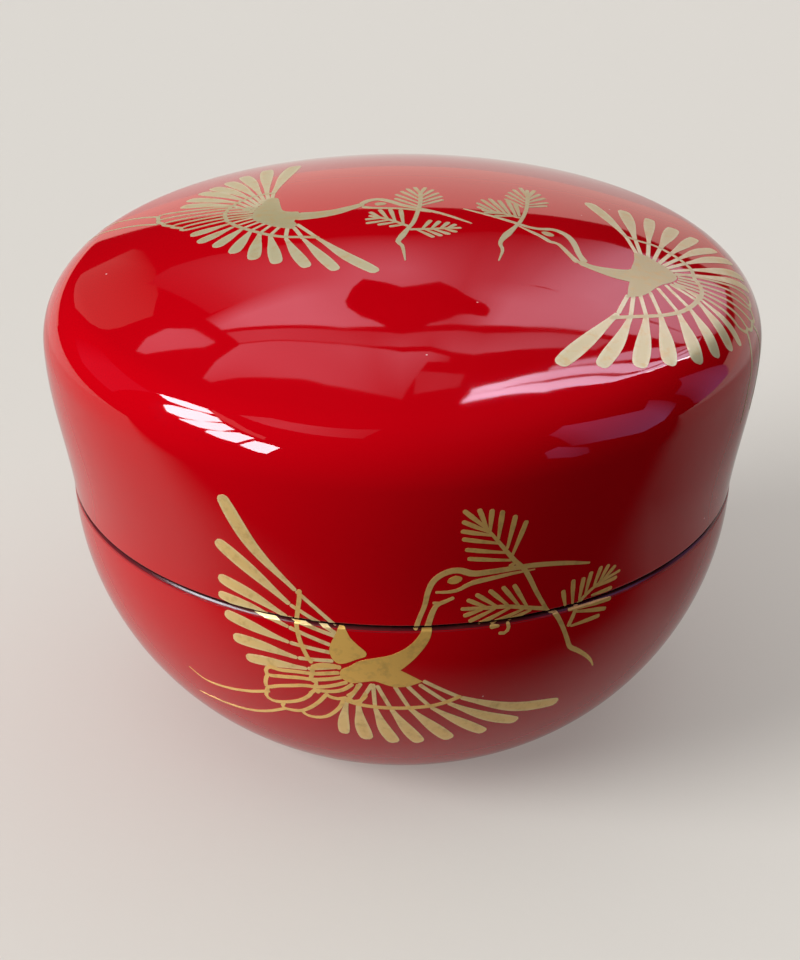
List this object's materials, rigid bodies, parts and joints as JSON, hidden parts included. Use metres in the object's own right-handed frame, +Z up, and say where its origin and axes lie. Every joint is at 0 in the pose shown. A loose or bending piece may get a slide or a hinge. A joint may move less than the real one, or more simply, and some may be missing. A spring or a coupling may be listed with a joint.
{
  "type": "lidded tea caddy",
  "caption": "Low round turned tea caddy with a domed lift-off lid over an inner lip, red lacquer with gold painted cranes.",
  "frame": {"origin": "middle of the underside, on the surface that the caddy stands on", "axes": "+Z up along the turning axis, -Y towards the side with the crane that crosses the seam"},
  "size_m": [0.082, 0.082, 0.06],
  "materials": {
    "body_lacquer": "turned wood under gloss red lacquer",
    "lid_lacquer": "turned wood under gloss red lacquer",
    "inside_lacquer": "black lacquer inside, on the lip and on the bevelled rim",
    "gold_painting": "sprinkled gold powder under thin lacquer, satin"
  },
  "bodies": {
    "root": {"caddy_body": "body_lacquer", "lid": "lid_lacquer"}
  },
  "joints": []
}
